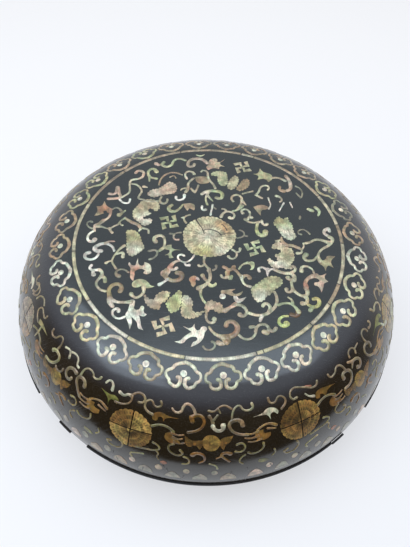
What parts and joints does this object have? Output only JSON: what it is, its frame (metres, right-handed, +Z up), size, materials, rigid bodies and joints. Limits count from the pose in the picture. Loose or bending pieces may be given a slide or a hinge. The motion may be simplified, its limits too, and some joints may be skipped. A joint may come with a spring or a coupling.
{
  "type": "round lacquer box",
  "caption": "Round lacquered wooden box with a domed lift-off lid, a rounded base on a foot ring, and shell inlay of chrysanthemums, ruyi heads and scrolls",
  "frame": {"origin": "centre of the bounding box on the plane that the foot ring stands on", "axes": "+Z up along the turned axis, -Y towards the picture's viewer, +X to the viewer's right"},
  "size_m": [0.3844, 0.3844, 0.1543],
  "materials": {
    "lacquer": "black lacquer over wood, glossy, worn to a satin on the top",
    "lining": "dark red lacquer, satin",
    "hoop": "dark bent strip, dull",
    "pale_shell": "polished mother-of-pearl, cream with green and pink",
    "golden_shell": "polished mother-of-pearl, golden ochre"
  },
  "bodies": {
    "base": {"base_floor": "lining", "base_foot_ring": "lacquer", "base_locating_lip": "lining", "base_mouth_ring": "lacquer", "base_side_hoop": "lacquer"},
    "lid": {"lid_top_panel": "lacquer", "lid_shoulder_ring": "lacquer", "lid_side_hoop": "lacquer", "lid_mouth_ring": "lacquer", "rim_hoop_front": "hoop", "rim_hoop_left_remnant": "hoop", "rim_hoop_right_remnant": "hoop", "rim_hoop_back": "hoop", "centre_chrysanthemum": "pale_shell", "ring_strip_01": "pale_shell", "ring_strip_02": "pale_shell", "ring_strip_03": "pale_shell", "ring_strip_04": "pale_shell", "ring_strip_05": "pale_shell", "ring_strip_06": "pale_shell", "ring_strip_07": "pale_shell", "ring_strip_08": "pale_shell", "ring_strip_09": "pale_shell", "ring_strip_10": "pale_shell", "ring_strip_11": "pale_shell", "ring_strip_12": "pale_shell", "ring_strip_13": "pale_shell", "ring_strip_14": "pale_shell", "ring_strip_15": "pale_shell", "ring_strip_16": "pale_shell", "ring_strip_17": "pale_shell", "side_chrysanthemum_1": "golden_shell", "side_chrysanthemum_2": "golden_shell", "side_chrysanthemum_3": "golden_shell", "side_chrysanthemum_4": "golden_shell", "side_chrysanthemum_5": "golden_shell", "side_chrysanthemum_6": "golden_shell", "side_chrysanthemum_7": "golden_shell", "side_chrysanthemum_8": "golden_shell"}
  },
  "joints": [
    {"name": "lid_lift", "type": "slide", "parent": "base", "child": "lid", "axis": [0, 0, 1], "range_m": [0, 0.15]}
  ]
}
